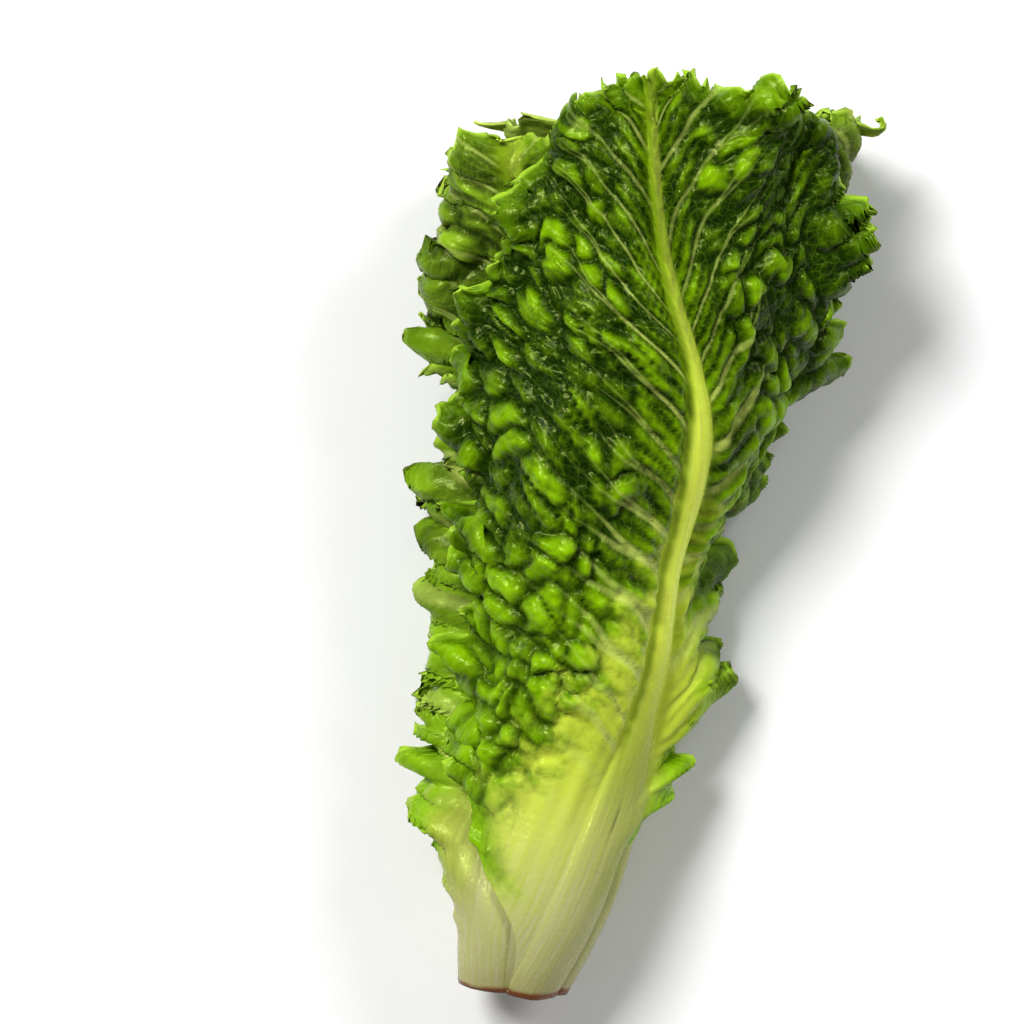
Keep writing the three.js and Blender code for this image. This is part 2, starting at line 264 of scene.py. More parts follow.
def axis_height(height):
    layer = layer_of(1, height)
    resting = (layer + OPEN_SWELL * (1 - layer)) * along(RADIUS, height)
    lift = BUTT_LIFT * (1 - smoothstep(height, 0, 80)) + TIP_LIFT * smoothstep(height, 215, HEAD_LENGTH)
    return resting * outline(180, height) * along(DEPTH, height) - SINK + lift


def folds(turn, height, radius):
    """Folds that all layers share, as a share of the radius."""
    around = np.radians(turn)
    side = 1 - smoothstep(-np.cos(around), 0.45, 0.9)

    def wave(share, count, shift):
        return share * np.sin(count * around + shift)

    body = wave(0.022, 3, 0.02 * height + 0.6) + wave(0.016, 5, 2 - 0.031 * height)
    top = wave(0.05, 8, 0.05 * radius + 1.1) + wave(0.028, 13, 0.4 - 0.045 * height)
    return side * (body * smoothstep(height, 40, 120) + top * smoothstep(height, 212, 275))


def random_at(i, j, seed):
    """An even random number from 0 to 1 for each place of a lattice."""
    return np.sin(i * 127.1 + j * 311.7 + seed * 74.7) * 43758.5453 % 1


def soft_noise(x, y, seed):
    """Smooth noise from -1 to 1 with lumps one unit across."""
    i, j = np.floor(x), np.floor(y)
    u, v = smoothstep(x - i, 0, 1), smoothstep(y - j, 0, 1)
    low = random_at(i, j, seed) * (1 - u) + random_at(i + 1, j, seed) * u
    high = random_at(i, j + 1, seed) * (1 - u) + random_at(i + 1, j + 1, seed) * u
    return 2 * (low * (1 - v) + high * v) - 1


def near(distance, reach, power=1):
    """1 at no distance, fading to 0 at the reach."""
    return (1 - smoothstep(distance, 0, reach)) ** power


def of_pair(pair, rightness):
    """A pair's first value at the left and its second at the right."""
    return pair[0] + (pair[1] - pair[0]) * rightness


def cells(x, y, seed):
    """A sheet of uneven cells: how far each place is from its cell's middle and from its border, and the
    cell's own number from 0 to 1."""
    nearest = np.full_like(x, 9.0)
    second = np.full_like(x, 9.0)
    own = np.zeros_like(x)
    for di in (-1, 0, 1):
        for dj in (-1, 0, 1):
            i, j = np.floor(x) + di, np.floor(y) + dj
            dx = i + 0.15 + 0.7 * random_at(i, j, seed) - x
            dy = j + 0.15 + 0.7 * random_at(i, j, seed + 1) - y
            distance = np.hypot(dx, dy)
            own = np.where(distance < nearest, random_at(i, j, seed + 2), own)
            second = np.minimum(second, np.maximum(nearest, distance))
            nearest = np.minimum(nearest, distance)
    return nearest, second - nearest, own


def bubbles(x, y, seed):
    """Rounded bubbles packed side by side, from 0 in their creases to 1, and the creases themselves."""
    middle, border, own = cells(x, y, seed)
    swollen = (1 - np.exp(-border / 0.2)) * np.sqrt(np.maximum(0.04, 1 - (middle / 0.85) ** 2))
    return (0.35 + 0.65 * own) * swollen, np.exp(-border / 0.19)


def rolled(reach, angle):
    """How far a strip that bends evenly through an angle stands out, and how much shorter it looks."""
    angle = np.where(np.abs(angle) < 0.001, 0.001, angle)
    return reach * (1 - np.cos(angle)) / angle, reach * (1 - np.sin(angle) / angle)


def slanted(x, height):
    """How far the cut lifts a place near the foot."""
    return np.maximum(0, CUT_SLANT * (CUT_PIVOT - x)) * (1 - smoothstep(height, 0, 25))


def foot_of(index):
    return FOOT_CUT if LEAVES[index]["slot"] == OUTER else LEAVES[index]["foot"]


def half_width_of(index, height, side):
    radius = layer_of(index, height) * along(RADIUS, height)
    return np.radians(wrap_of(index, height, side)) * radius


def leaf_places(index):
    """The sheet's places across and along the leaf, with its strips closer together on the rib and at the
    edges, and its rows at the tip."""
    leaf = LEAVES[index]
    length = leaf["tip"] - foot_of(index)
    rising = 1 - (1 - np.linspace(0, 1, leaf["rows"] + 1)[:, None]) ** CLOSER_ROWS
    column = np.linspace(-1, 1, leaf["strips"] + 1)[None, :] + 0 * rising
    share = np.abs(column)
    height = foot_of(index) + length * rising
    half_width = half_width_of(index, height, column)
    rib_share = np.minimum(0.62, 1.2 * along(RIB_HALF_WIDTH, height) / half_width)
    beyond = np.clip((share - ON_RIB) / (1 - ON_RIB), 0, 1)
    blade = 1 - (1 - beyond) ** CLOSER_STRIPS
    across = np.where(share < ON_RIB, rib_share * share / ON_RIB, rib_share + (1 - rib_share) * blade)
    return across * np.sign(column), rising + 0 * column


class Sheet:
    """A leaf's outer face as a grid of places, shaped in steps. across runs from -1 at the left edge to 1
    at the right, up from 0 at the foot to 1 at the tip, and margin in millimetres along the edge."""

    def __init__(self, index, look):
        self.index = index
        self.look = look
        self.leaf = LEAVES[index]
        self.foot = foot_of(index)
        self.length = self.leaf["tip"] - self.foot
        self.across, self.up = leaf_places(index)
        self.height = self.height_here()
        self.half_width = half_width_of(index, self.height, self.across)
        self.from_side = (1 - np.abs(self.across)) * self.half_width
        self.from_top = (1 - self.up) * self.length
        self.from_edge = np.minimum(self.from_side, self.from_top)
        self.nearer_side = smoothstep(self.from_top - self.from_side, -6, 6)
        self.margin = self.height + self.from_side
        bare = self.leaf.get("bare", BARE_FOOT)
        self.blade = smoothstep(self.height - self.leaf["foot"], bare, bare + BARE_FADE)

    def height_here(self):
        return self.foot + self.length * self.up - crown_drop(self.index, self.across) * self.up ** 3

    def cut_teeth(self):
        """The edge's lobes and small teeth shift its outermost few millimetres within the sheet."""
        margin = self.margin
        lobes = 2.6 * soft_noise(margin / 9, 0 * margin + self.index, 3)
        lobes += 1.5 * soft_noise(margin / 3.9, 0 * margin, 7)
        teeth = np.abs((margin / TOOTH_LENGTH + 0.3 * lobes) % 1 * 2 - 1) ** 1.6
        shift = (lobes + self.look.tooth_depth / MM * teeth) * self.blade
        shift *= near(self.from_edge, TOOTH_REACH)
        self.across = self.across * (1 + shift * self.nearer_side / np.maximum(self.half_width, 8))
        self.up = self.up + shift * (1 - self.nearer_side) / self.length
        self.height = self.height_here()
        self.from_rib = np.abs(self.across) * self.half_width

    def lay_round(self):
        """Each place's turn and radius round the head, and how far it is uncovered and off the ground."""
        wrap = wrap_of(self.index, self.height, self.across)
        self.turn = rib_turn(self.index, self.height) + self.across * wrap
        layer = layer_of(self.index, self.height)
        self.uncovered = openness(self.index, self.turn, self.height)
        self.radius = along(RADIUS, self.height) * (layer + OPEN_SWELL * (1 - layer) * self.uncovered)
        self.off_ground = 1 - 0.85 * smoothstep(-np.cos(np.radians(self.turn)), 0.5, 0.9)

    def ruffle_edges(self):
        """How far the free edges stand proud and slide along the leaf. They flare and wave as the solids
        do, and nearer the edge they have ruffles, curls that roll over, and crimps."""
        index, look, leaf = self.index, self.look, self.leaf
        margin, from_edge, uncovered = self.margin, self.from_edge, self.uncovered
        rightness = smoothstep(self.across, -0.4, 0.4)
        corner = near(self.from_side, CORNER_REACH) * near(self.from_top, CORNER_REACH)
        near_corner = near(self.from_side, 2 * CORNER_REACH) * near(self.from_top, 2 * CORNER_REACH)
        freed = self.blade * self.off_ground * (1 - 0.75 * corner)
        wander = soft_noise(margin / 31, 0 * margin, 11 + index)
        swell = 0.8 + 0.5 * soft_noise(margin / 21, 0 * margin, 17 + index)
        turns = 2 * math.pi
        frill_at = turns * (self.height + self.from_side) / FRILL_LENGTH + 1.7 * index + 2.1 * rightness
        ruffle_at = turns * margin / RUFFLE_LENGTH + 2.6 * wander + 2.3 * index
        curl_at = turns * margin / CURL_LENGTH + 3.4 * wander + index
        crimp_at = turns * margin / CRIMP_LENGTH + 6 * wander

        flare = of_pair(leaf["flare"], rightness) * uncovered * near(from_edge, FLARE_REACH, 2) * freed
        frill = of_pair(leaf["frill"], rightness) * uncovered + COVERED_FRILL * (1 - uncovered)
        frill *= near(from_edge, FRILL_REACH) * freed
        ruffle = look.ruffle / MM * leaf.get("curl", 1) * swell * (0.06 + 0.94 * uncovered)
        ruffle *= near(from_edge, RUFFLE_REACH, 1.2) * freed * (1 - 0.6 * near_corner)
        crimp = look.tiny_frill / MM * swell * (0.2 + 0.8 * uncovered)
        crimp *= near(from_edge, CRIMP_REACH, 1.5) * freed
        lift = 0.35 + np.sin(curl_at) + 0.45 * np.sin(0.43 * curl_at + 2 * index)
        roll = look.curl_angle * leaf.get("rolls", 1) * swell * np.where(lift > 0, lift, 0.6 * lift)
        roll *= freed * (0.08 + 0.92 * uncovered) * (1 - 0.9 * near_corner)
        roll = MOST_CURL * np.tanh(roll / MOST_CURL)
        strip = np.maximum(0, CURL_REACH - from_edge)
        stands, shorter = rolled(strip, roll * strip / CURL_REACH)

        proud = flare * (1 - 0.8 * corner) + frill * np.sin(frill_at) + stands
        proud += ruffle * (np.sin(ruffle_at) + 0.4 * np.sin(curl_at)) + crimp * np.sin(crimp_at)
        slide = -FRILL_SLIDE * frill * uncovered * np.sin(2 * frill_at) - shorter * (1 - self.nearer_side)
        slide -= 0.45 * ruffle * np.sin(2 * ruffle_at) + 0.15 * crimp * np.sin(2 * crimp_at)
        slide -= 0.3 * stands * np.sin(curl_at + 1.2)
        drawn_in = np.degrees(shorter * self.nearer_side / np.maximum(self.radius, 8))
        self.turn = self.turn - np.sign(self.across) * drawn_in
        return proud, slide

    def bend_round(self, proud, slide):
        """The sheet's points, bent round the head's axis."""
        turn, height = self.turn, self.height
        reach = self.radius * (1 + folds(turn, height, self.radius)) * outline(turn, height) + proud
        x = along(AXIS_X, height) + reach * np.sin(np.radians(turn))
        z = axis_height(height) + reach * np.cos(np.radians(turn)) * along(DEPTH, height)
        y = height - HEAD_LENGTH / 2 + slide + slanted(x, height)
        return np.stack([x, y, np.maximum(LOWEST_MIDDLE, z)], -1)

    def lay_veins(self):
        """Side veins leave the rib nearly along it, bend outwards and fork."""
        index, height, across, from_rib = self.index, self.height, self.across, self.from_rib
        on_right = across > 0
        steep = 0.8 + 0.6 * smoothstep(height, 150, 265)
        self.bent = 4.6 * soft_noise(height / 31, across * 2.5, 23 + index)
        self.bent += 1.6 * soft_noise(height / 10, across * 6, 24)
        self.rise = height - steep * from_rib - 8 * (1 - np.exp(-from_rib / 7)) + self.bent + 6.3 * on_right
        pitch = self.look.vein_pitch / MM
        self.spaced = self.rise / pitch + 0.22 * np.sin(self.rise / 11 + index)
        offset = self.spaced % 1 - 0.5
        fork = FORK_SHARE * smoothstep(from_rib, FORK_START, FORK_END)
        slope = steep + 8 / 7 * np.exp(-from_rib / 7)
        nearest = np.minimum(np.abs(offset - fork), np.abs(offset + fork))
        self.from_vein = nearest * pitch / np.hypot(1, slope)

        self.rib_half = along(RIB_HALF_WIDTH, height)
        self.past_rib = smoothstep(from_rib, 0.75 * self.rib_half, 1.4 * self.rib_half)
        strong = 0.3 + 0.7 * random_at(np.floor(self.spaced), 0 * self.spaced, 5 + index)
        self.veined = self.past_rib * strong * smoothstep(height - 42 - 38 * on_right, 0, 38)
        self.veined *= (1 - 0.93 * smoothstep(from_rib, 9, 40)) * (1 - 0.5 * smoothstep(height, 150, 215))
        width = 1.2 + 0.9 * (1 - smoothstep(from_rib, 5, 34)) * (1 - smoothstep(height, 80, 230))
        return np.exp(-(self.from_vein / width) ** 2) * self.veined

    def puff_up(self):
        """Beside the rib the blade puffs up in long ridges between the veins, further out in bubbles, and
        least in the pale part at the foot. Gives the relief, and marks that paint highlights on the
        bubbles and ridges and shade in the hollows and creases between them."""
        index, height, from_rib, rise = self.index, self.height, self.from_rib, self.rise
        size = self.look.blister_size / MM
        warp = 0.6 * soft_noise(from_rib / 14, rise / 12, 29 + index)
        warp += 0.16 * soft_noise(from_rib / 4, rise / 5, 61)
        skew = 0.6 * soft_noise(from_rib / 11, rise / 15, 30 + index)
        skew += 0.16 * soft_noise(from_rib / 5, rise / 4, 62)
        leaning = height - 0.55 * from_rib + 0.5 * self.bent + 40 * (self.across > 0)
        big, big_crease = bubbles(from_rib / (1.1 * size) + warp, leaning / size + skew, 31 + index)
        finer = bubbles(from_rib / (0.66 * size) - skew, leaning / (0.62 * size) + warp, 37 + index)
        less, less_crease = finer
        crumple = np.abs(soft_noise(from_rib / 15 + warp, leaning / 17 + skew, 43 + index))
        bulge = soft_noise(from_rib / 24, leaning / 20 + warp, 47 + index)
        uneven = 0.75 + 0.5 * soft_noise(from_rib / 19, height / 23, 41 + index)
        ridge = 1 - (1 - np.minimum(1, self.from_vein / 3.1)) ** 2
        furrow = np.abs(np.sin(2 * math.pi * self.spaced + 1.3 * warp))

        higher = smoothstep(height, 165, 225)
        outward = smoothstep(from_rib, 12 - 7 * higher, 29 - 12 * higher)
        edged = 0.35 + 0.65 * smoothstep(self.from_edge, 0, 8)
        greenness = from_rib + self.leaf.get("green", GREEN_SLANT) * height
        bubbled = smoothstep(greenness, 42, 74) * smoothstep(height, 45, 80) * edged * outward
        ridged = smoothstep(from_rib, self.rib_half, self.rib_half + 4) * smoothstep(height, 55, 110)
        ridged *= edged * (1 - outward)
        combed = soft_noise(from_rib / 4.2, height / 34, 53 + index) * self.past_rib
        combed *= (1 - bubbled - ridged) * (1 - 0.8 * (self.across > 0))
        swollen = bubbled * (1.15 * big * uneven + 0.16 * less + 0.45 * crumple + 0.4 * bulge)
        swollen += ridged * (0.5 * ridge + 0.16 * furrow + 0.16 * less + 0.5 * crumple + 0.5 * bulge)
        relief = self.look.blister_height / MM * swollen + 0.8 * combed * smoothstep(height, 20, 60)

        # Painted light: the tops of bubbles and ridges get a painted highlight and their hollows painted
        # shade
        on_bubbles = 0.95 * big + 0.3 * less - 0.15
        on_ridges = 0.6 * ridge * furrow + 0.3 * less + 0.2 * crumple - 0.12
        painted_blister_shading = 0.35 * crumple + outward * on_bubbles + (1 - outward) * on_ridges
        # Painted shade laid along the creases between bubbles and the furrows beside the veins
        painted_crease_shade = np.clip(big_crease + 0.35 * less_crease, 0, 1) * bubbled
        painted_crease_shade += 0.5 * ridged * (1 - furrow) * smoothstep(self.from_vein, 1.4, 2.6)
        return relief, {"painted_blister_shading": np.clip(painted_blister_shading, 0, 1), "painted_crease_shade": painted_crease_shade, "leaning": leaning}

    def thicken(self):
        """How far the outer and the inner face stand off the sheet's middle, and the groove by the rib."""
        height, from_rib = self.height, self.from_rib
        rib = (1 - np.minimum(1, from_rib / (1.1 * self.rib_half)) ** 2) ** 0.75 * self.leaf["rib"]
        groove = np.exp(-((from_rib - 0.85 * self.rib_half) / 1.1) ** 2)
        groove *= smoothstep(height, 50, 110) * (self.across < 0)
        fleshy = 0.35 * (1 - smoothstep(height, 20, 90)) * np.clip(1 - np.abs(self.across), 0, 1)
        blade = HALF_THICKNESS * (0.5 + 0.5 * smoothstep(self.from_edge, 0, 12)) + fleshy
        outside = blade + rib * along(RIB_RISE, height) - 0.35 * groove * self.leaf["rib"]
        return outside, blade + rib * along(RIB_INSIDE, height), groove


def leaf_surface(index, look):
    """The leaf's outer face as rows of points, its thickness, and the marks that its material reads."""
    sheet = Sheet(index, look)
    sheet.cut_teeth()
    sheet.lay_round()
    proud, slide = sheet.ruffle_edges()
    points = sheet.bend_round(proud, slide)
    vein = sheet.lay_veins()
    puffed, marks = sheet.puff_up()
    outside, inside, groove = sheet.thicken()

    room = (0.1 + 0.9 * sheet.uncovered) * sheet.off_ground
    relief = (puffed + look.vein_height / MM * vein) * room
    normal = np.cross(np.gradient(points, axis=1), np.gradient(points, axis=0))
    normal /= np.linalg.norm(normal, axis=-1, keepdims=True)
    points = points + normal * (outside + relief)[..., None]
    points[..., 2] = np.maximum(0, points[..., 2])
    marks.update({
        "ribness": 1 - smoothstep(sheet.from_rib, 0.75 * sheet.rib_half, 1.25 * sheet.rib_half),
        "veined": sheet.veined,
        "spaced": sheet.spaced,
        "from_edge": np.maximum(0, sheet.from_edge),
        "height": sheet.height,
        "from_rib": sheet.from_rib * np.sign(sheet.across),
        "groove": groove,
    })
    return points, outside + inside, marks


def deselect_all():
    if bpy.context.object and bpy.context.object.mode != "OBJECT":
        bpy.ops.object.mode_set(mode="OBJECT")
    bpy.ops.object.select_all(action="DESELECT")


def colour_of(value):
    """A node's output as it is, or red, green and blue made opaque."""
    return value if isinstance(value, bpy.types.NodeSocket) else (*value, 1.0)


class Nodes:
    """A short way to lay nodes into a material."""

    def __init__(self, name):
        self.material = bpy.data.materials.new(name)
        self.material.use_nodes = True
        self.tree = self.material.node_tree
        self.tree.nodes.clear()
        self.output = self.tree.nodes.new("ShaderNodeOutputMaterial")

    def add(self, kind, inputs=None, **settings):
        node = self.tree.nodes.new(kind)
        for key, value in settings.items():
            setattr(node, key, value)
        for key, value in (inputs or {}).items():
            self.put(node.inputs[key], value)
        return node

    def put(self, socket, value):
        if isinstance(value, bpy.types.NodeSocket):
            self.tree.links.new(value, socket)
        else:
            socket.default_value = value

    def mark(self, name):
        return self.add("ShaderNodeAttribute", attribute_name=name).outputs["Fac"]

    def maths(self, operation, a, b=0.0, clamp=False):
        node = self.add("ShaderNodeMath", operation=operation, use_clamp=clamp)
        self.put(node.inputs[0], a)
        self.put(node.inputs[1], b)
        return node.outputs[0]

    def times(self, a, b, clamp=False):
        return self.maths("MULTIPLY", a, b, clamp)

    def plus(self, a, b, clamp=False):
        return self.maths("ADD", a, b, clamp)

    def minus(self, a, b):
        return self.maths("SUBTRACT", a, b)

    def between(self, value, low, high, start=0.0, end=1.0):
        """Goes smoothly from start to end while the value goes from low to high."""
        return self.add("ShaderNodeMapRange", {
            "Value": value, "From Min": low, "From Max": high, "To Min": start, "To Max": end,
        }, interpolation_type="SMOOTHSTEP").outputs["Result"]

    def mix(self, share, first, second):
        return self.add("ShaderNodeMix", {
            "Factor": share, "A": colour_of(first), "B": colour_of(second),
        }, data_type="RGBA").outputs["Result"]

    def vector(self, x, y=0.0):
        return self.add("ShaderNodeCombineXYZ", {"X": x, "Y": y}).outputs[0]

    def noise(self, vector, scale, detail):
        return self.add("ShaderNodeTexNoise", {
            "Vector": vector, "Scale": scale, "Detail": detail, "Roughness": 0.55,
        }).outputs["Fac"]

    def cells(self, vector, scale, feature, **inputs):
        return self.add("ShaderNodeTexVoronoi", {
            "Vector": vector, "Scale": scale, "Randomness": 0.9, **inputs,
        }, feature=feature, voronoi_dimensions="2D").outputs["Distance"]

    def bump(self, height, strength, distance):
        return self.add("ShaderNodeBump", {
            "Height": height, "Strength": strength, "Distance": distance,
        }).outputs[0]

    def finished(self, inputs):
        """The material, with a surface of these inputs."""
        self.put(self.output.inputs["Surface"], self.add("ShaderNodeBsdfPrincipled", inputs).outputs[0])
        return self.material


class LeafNodes(Nodes):
    """Moist leaf: green blade with pale veins and rib, cream at the foot, brown where it was cut."""

    def __init__(self, name, colours, green):
        super().__init__(name)
        self.colours = colours
        place = self.add("ShaderNodeTexCoord").outputs["Object"]
        self.cloudy = self.noise(place, 48.0, 4.0)
        self.fine = self.noise(place, 520.0, 3.0)
        self.height = self.mark("height")
        self.from_edge = self.mark("from_edge")
        self.ribness = self.mark("ribness")
        from_rib = self.mark("from_rib")
        self.side = self.maths("ABSOLUTE", from_rib)
        self.sheet = self.vector(from_rib, self.mark("leaning"))
        streaks = self.vector(from_rib, self.times(self.height, 0.045))
        self.streak = self.noise(streaks, 0.85, 3.0)

        # The pale foot and wings beside the rib stay clear of the green edge, except at the very foot
        at_foot = self.between(self.height, 24.0, 46.0, 1.0, 0.0)
        self.inner = self.maths("MAXIMUM", self.between(self.from_edge, 2.0, 13.0), at_foot)
        spread = self.plus(self.side, self.times(self.height, green))
        uneven = self.between(self.noise(self.sheet, 0.13, 3.0), 0.2, 0.8, -13.0, 13.0)
        wing = self.between(self.plus(spread, uneven), 52.0, 76.0, 1.0, 0.0)
        self.wing = self.times(wing, self.inner)
        low = self.plus(self.height, self.times(self.side, 0.3))
        self.foot = self.times(self.between(low, 12.0, 90.0, 1.0, 0.0), self.inner)

    def blade(self):
        """Painted shade in the hollows and creases, painted highlight on the blisters, with a net of small
        veins and a pale edge with painted glow.
        """
        own = self.colours
        # Painted light: the bubbles' mark lightens their tops as painted highlight and deepens the hollows
        # as painted shade, over a random cloudy tone and a deeper green higher up
        swollen = self.times(self.mark("painted_blister_shading"), 0.7)
        tone = self.plus(swollen, self.times(self.cloudy, 0.55))
        tone = self.plus(tone, self.between(self.height, 60.0, 210.0, 0.18, -0.09))
        blade = self.mix(self.between(tone, 0.36, 1.06), own["dark_and_hollow_shade"], own["bright"])
        blade = self.mix(self.between(self.height, 60.0, 150.0, 0.4, 0.0), blade, own["frill"])
        blade = self.mix(self.between(self.fine, 0.4, 0.75, 0.0, 0.15), blade, own["bright"])
        # Partly painted glow: the blade near its edge is made paler and lighter as if lit through from
        # behind
        blade = self.mix(self.between(self.from_edge, 0.5, 7.0, 0.45, 0.0), blade, own["frill"])
        net = self.cells(self.sheet, 0.42, "DISTANCE_TO_EDGE")
        blade = self.mix(self.between(net, 0.0, 0.12, 0.12, 0.0), blade, own["rim"])
        # Painted shade in the creases between the bubbles and beside the veins
        blade = self.mix(self.times(self.mark("painted_crease_shade"), 0.7), blade, own["shade"])
        blade = self.mix(self.times(self.wing, 0.92), blade, own["wing"])
        # Partly painted glow: the thin edge gets the pale rim colour, as if light came through it from
        # behind
        edge = self.between(self.from_edge, 0.0, 1.6, 0.8, 0.0)
        edge = self.times(edge, self.between(self.height, 45.0, 70.0))
        return self.mix(edge, blade, own["rim"])

    def vein_lines(self):
        """1 along the side veins, with the same forks as in the sheet."""
        off_line = self.minus(self.maths("FRACT", self.mark("spaced")), 0.5)
        fork = self.between(self.side, FORK_START, FORK_END, 0.0, FORK_SHARE)
        one = self.maths("ABSOLUTE", self.minus(off_line, fork))
        other = self.maths("ABSOLUTE", self.plus(off_line, fork))
        thin = self.between(self.side, 4.0, 40.0, 0.25, 0.07)
        thin = self.times(thin, self.between(self.height, 120.0, 200.0, 1.0, 0.4))
        nearest = self.maths("MINIMUM", one, other)
        line = self.between(self.maths("DIVIDE", nearest, thin), 0.15, 1.0, 1.0, 0.0)
        return self.times(line, self.times(self.mark("veined"), 1.25, True))

    def colour(self):
        """The blade, and over it the veins, the rib with its groove, the foot and the stain of the cut."""
        own = self.colours
        # Painted light and shade: the rib is made deeper-coloured near the foot and paler higher up to
        # follow how the light falls on it
        rib = self.mix(self.between(self.height, 60.0, 135.0), own["rib_low_painted_shade"], own["rib"])
        rib = self.mix(self.between(self.streak, 0.35, 0.7, 0.0, 0.4), rib, own["vein"])
        foot = self.mix(self.between(self.streak, 0.3, 0.7), own["foot"], own["foot_dark"])
        clear = self.times(self.ribness, self.between(self.height, 165.0, 235.0, 1.0, 0.25))
        ragged = self.minus(self.height, self.times(self.cloudy, 4.5))
        browned = self.between(ragged, -1.2, 0.6, 0.9, 0.0)
        stain = self.plus(browned, self.between(ragged, 0.0, 9.0, 0.16, 0.0), True)

        colour = self.mix(self.vein_lines(), self.blade(), own["vein"])
        colour = self.mix(clear, colour, rib)
        colour = self.mix(self.times(self.mark("groove"), 0.75), colour, own["groove"])
        colour = self.mix(self.foot, colour, foot)
        return self.mix(stain, colour, own["cut"])

    def relief(self):
        """Small pimples on the green blade, and streaks along the rib and the foot."""
        off_middle = self.cells(self.sheet, 0.29, "SMOOTH_F1", Smoothness=0.3)
        green = self.minus(1.0, self.maths("MAXIMUM", self.wing, self.ribness))
        pimples = self.times(self.between(off_middle, 0.0, 0.75, 1.0, 0.0), green)
        height = self.plus(self.times(self.fine, 0.35), pimples)
        fleshy = self.times(self.plus(self.ribness, self.foot, True), 0.5)
        height = self.plus(height, self.times(self.streak, fleshy))
        return self.bump(height, 0.6, 0.0009)


def leaf_material(index, look):
    """One material a leaf, its blade paler and yellower towards the heart."""
    share = (index / (len(LEAVES) - 1)) ** 1.3
    colours = palette(look)
    for key, at_heart in HEART_COLOURS.items():
        colours[key] = blended(colours[key], at_heart, share)
    n = LeafNodes(f"leaf_{index + 1:02d}", colours, LEAVES[index].get("green", GREEN_SLANT))
    return n.finished({
        "Base Color": n.colour(), "Roughness": n.between(n.fine, 0.3, 0.8, 0.2, 0.36), "Normal": n.relief(),
        "Specular IOR Level": 0.22, "Specular Tint": (0.85, 1.0, 0.3, 1.0),
        "Coat Weight": 0.03, "Coat Roughness": 0.08,
    })


def stem_material(look):
    """Cream stem flesh with a browned cut face and faint darker rings."""
    colours = palette(look)
    n = Nodes("stem_flesh")
    place = n.add("ShaderNodeTexCoord").outputs["Object"]
    along_head = n.add("ShaderNodeSeparateXYZ", {"Vector": place}).outputs["Y"]
    cloudy = n.noise(place, 160.0, 4.0)
    fine = n.noise(place, 900.0, 3.0)
    radius = n.mark("radius")
    rings = n.add("ShaderNodeTexWave", {
        "Vector": n.vector(radius), "Scale": 0.35, "Distortion": 2.5, "Detail": 2.0,
    }).outputs["Fac"]
    cut = n.mix(n.between(cloudy, 0.3, 0.7), colours["cut_pale"], colours["cut"])
    cut = n.mix(n.times(rings, 0.12), cut, colours["foot"])
    cut = n.mix(n.between(radius, 12.0, 18.5), cut, colours["cut"])
    cut_at = -HEAD_LENGTH / 2 * MM
    on_face = n.between(along_head, cut_at + 0.0007, cut_at + 0.0035, 1.0, 0.0)
    return n.finished({
        "Base Color": n.mix(on_face, colours["foot"], cut),
        "Roughness": n.between(fine, 0.3, 0.7, 0.4, 0.6),
        "Normal": n.bump(n.plus(fine, cloudy), 0.5, 0.0008),
        "Subsurface Weight": 0.25, "Subsurface Radius": (1.0, 0.8, 0.4), "Subsurface Scale": 0.003,
    })


